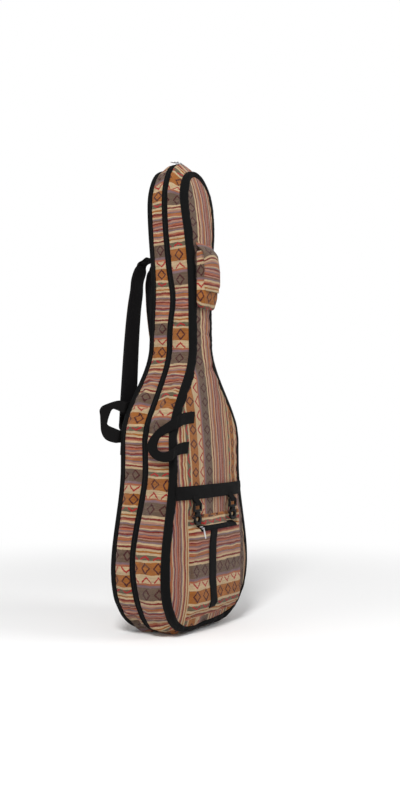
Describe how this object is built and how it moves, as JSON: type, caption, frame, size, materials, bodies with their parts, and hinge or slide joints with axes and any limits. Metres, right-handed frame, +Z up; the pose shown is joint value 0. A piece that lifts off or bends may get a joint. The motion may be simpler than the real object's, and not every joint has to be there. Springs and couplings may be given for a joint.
{
  "type": "gig bag",
  "caption": "Soft padded gig bag with a waisted body, long neck and rounded head: zip opening, front pocket, head pouch, snap hooks, side handles and shoulder straps.",
  "frame": {"origin": "under the middle of the bag's bottom, on the middle plane of its depth", "axes": "+Z up towards the head, -Y out of the front panel, +Y out of the back where the shoulder straps hang"},
  "size_m": [0.354, 0.222, 1.066],
  "materials": {
    "woven_cloth": "coarse striped cotton weave with diamond bands",
    "foam": "closed-cell foam sheet",
    "lining": "plain black lining",
    "black_binding": "ribbed black tape",
    "zip_coil": "nylon coil",
    "black_webbing": "ribbed black webbing",
    "strap_pad": "padded, black on the inside and striped on the outside",
    "hook_and_loop": "hook-and-loop tape",
    "silver_metal": "plated die-cast",
    "black_plastic": "moulded plastic"
  },
  "bodies": {
    "rear_shell": {"back_panel": "woven_cloth", "back_foam": "foam", "back_lining": "lining", "rear_gusset": "woven_cloth", "rear_gusset_foam": "foam", "rear_gusset_lining": "lining", "rear_edge_binding": "black_binding", "rear_zip_tape": "black_binding", "rear_zip_coil": "zip_coil", "rear_hinge_strip": "black_binding", "strap_anchor_patch": "black_webbing", "strap_lower_tabs": "black_webbing", "rear_handle_tabs": "black_webbing"},
    "front_shell": {"front_panel": "woven_cloth", "front_foam": "foam", "front_lining": "lining", "front_gusset": "woven_cloth", "front_gusset_foam": "foam", "front_gusset_lining": "lining", "front_edge_binding": "black_binding", "front_zip_tape": "black_binding", "front_zip_coil": "zip_coil", "front_hinge_strip": "black_binding", "front_band": "black_webbing", "hook_loops": "black_webbing", "front_handle_tabs": "black_webbing", "pocket_face": "woven_cloth", "pocket_top_strip": "woven_cloth", "pocket_gusset": "woven_cloth", "pocket_center_strip": "black_webbing", "pocket_zip_tape": "black_binding", "pocket_zip_coil": "zip_coil", "pouch_body": "woven_cloth", "pouch_closure_patch": "hook_and_loop"},
    "left_slider": {"zip_slider_left": "silver_metal"},
    "left_pull": {"zip_pull_left": "silver_metal"},
    "right_slider": {"zip_slider_right": "silver_metal"},
    "right_pull": {"zip_pull_right": "silver_metal"},
    "pocket_slider": {"pocket_zip_slider": "silver_metal"},
    "pocket_pull": {"pocket_zip_pull": "silver_metal"},
    "flap": {"pouch_flap": "woven_cloth", "flap_closure_patch": "hook_and_loop"},
    "front_handle": {"front_handle_loop": "black_webbing"},
    "rear_handle": {"rear_handle_loop": "black_webbing"},
    "left_strap": {"left_strap_pad": "strap_pad", "left_strap_webbing": "black_webbing"},
    "left_adjuster": {"left_strap_adjuster": "black_plastic"},
    "right_strap": {"right_strap_pad": "strap_pad", "right_strap_webbing": "black_webbing"},
    "right_adjuster": {"right_strap_adjuster": "black_plastic"},
    "left_eye": {"left_hook_eye": "black_plastic"},
    "left_hook": {"left_hook_body": "black_plastic"},
    "left_gate": {"left_hook_gate": "black_plastic"},
    "right_eye": {"right_hook_eye": "black_plastic"},
    "right_hook": {"right_hook_body": "black_plastic"},
    "right_gate": {"right_hook_gate": "black_plastic"}
  },
  "joints": [
    {"name": "open_front", "type": "hinge", "parent": "rear_shell", "child": "front_shell", "pos_m": [0, 0.008, 0], "axis": [1, 0, 0], "range_deg": [0, 170]},
    {"name": "left_slider_travel", "type": "hinge", "parent": "rear_shell", "child": "left_slider", "pos_m": [0, 0.008, 1.00978], "axis": [0, -1, 0], "range_deg": [0, 50]},
    {"name": "right_slider_travel", "type": "hinge", "parent": "rear_shell", "child": "right_slider", "pos_m": [0, 0.008, 1.00978], "axis": [0, 1, 0], "range_deg": [0, 50]},
    {"name": "left_pull_swing", "type": "hinge", "parent": "left_slider", "child": "left_pull", "pos_m": [-0.00742, 0.008, 1.06257], "axis": [0, 1, 0], "range_deg": [0, 150]},
    {"name": "right_pull_swing", "type": "hinge", "parent": "right_slider", "child": "right_pull", "pos_m": [0.00742, 0.008, 1.06257], "axis": [0, -1, 0], "range_deg": [0, 150]},
    {"name": "pocket_slider_travel", "type": "slide", "parent": "front_shell", "child": "pocket_slider", "axis": [1, 0, 0], "range_m": [0, 0.14]},
    {"name": "pocket_pull_swing", "type": "hinge", "parent": "pocket_slider", "child": "pocket_pull", "pos_m": [-0.058, -0.09357, 0.234], "axis": [-1, 0, 0], "range_deg": [0, 100]},
    {"name": "flap_lift", "type": "hinge", "parent": "front_shell", "child": "flap", "pos_m": [0, -0.05594, 0.856], "axis": [-1, 0, 0], "range_deg": [0, 85]},
    {"name": "front_handle_swing", "type": "hinge", "parent": "front_shell", "child": "front_handle", "pos_m": [-0.139, -0.0725, 0.445], "axis": [0.2419, 0, 0.9703], "range_deg": [-5, 150]},
    {"name": "rear_handle_swing", "type": "hinge", "parent": "rear_shell", "child": "rear_handle", "pos_m": [-0.133, 0.0735, 0.468], "axis": [0.3584, 0, 0.9336], "range_deg": [-25, 110]},
    {"name": "left_strap_swing", "type": "hinge", "parent": "rear_shell", "child": "left_strap", "pos_m": [-0.027, 0.065, 0.842], "axis": [0.1391, -0.0292, 0.9898], "range_deg": [-4, 18]},
    {"name": "right_strap_swing", "type": "hinge", "parent": "rear_shell", "child": "right_strap", "pos_m": [0.027, 0.065, 0.842], "axis": [0.1391, 0.0292, -0.9898], "range_deg": [-4, 18]},
    {"name": "left_adjuster_travel", "type": "slide", "parent": "left_strap", "child": "left_adjuster", "axis": [-0.139, -0.0437, -0.9893], "range_m": [0, 0.12]},
    {"name": "right_adjuster_travel", "type": "slide", "parent": "right_strap", "child": "right_adjuster", "axis": [0.1389, -0.0597, -0.9885], "range_m": [0, 0.12]},
    {"name": "left_eye_swing", "type": "hinge", "parent": "front_shell", "child": "left_eye", "pos_m": [-0.076, -0.09, 0.289], "axis": [-1, 0, 0], "range_deg": [0, 100]},
    {"name": "left_hook_swivel", "type": "hinge", "parent": "left_eye", "child": "left_hook", "pos_m": [-0.076, -0.09, 0.256], "axis": [0, 0, 1], "range_deg": [-30, 30]},
    {"name": "left_gate_press", "type": "hinge", "parent": "left_hook", "child": "left_gate", "pos_m": [-0.0862, -0.09, 0.2514], "axis": [0, 1, 0], "range_deg": [0, 10]},
    {"name": "right_eye_swing", "type": "hinge", "parent": "front_shell", "child": "right_eye", "pos_m": [0.076, -0.09, 0.289], "axis": [-1, 0, 0], "range_deg": [0, 100]},
    {"name": "right_hook_swivel", "type": "hinge", "parent": "right_eye", "child": "right_hook", "pos_m": [0.076, -0.09, 0.256], "axis": [0, 0, 1], "range_deg": [-30, 30]},
    {"name": "right_gate_press", "type": "hinge", "parent": "right_hook", "child": "right_gate", "pos_m": [0.0658, -0.09, 0.2514], "axis": [0, 1, 0], "range_deg": [0, 10]}
  ]
}
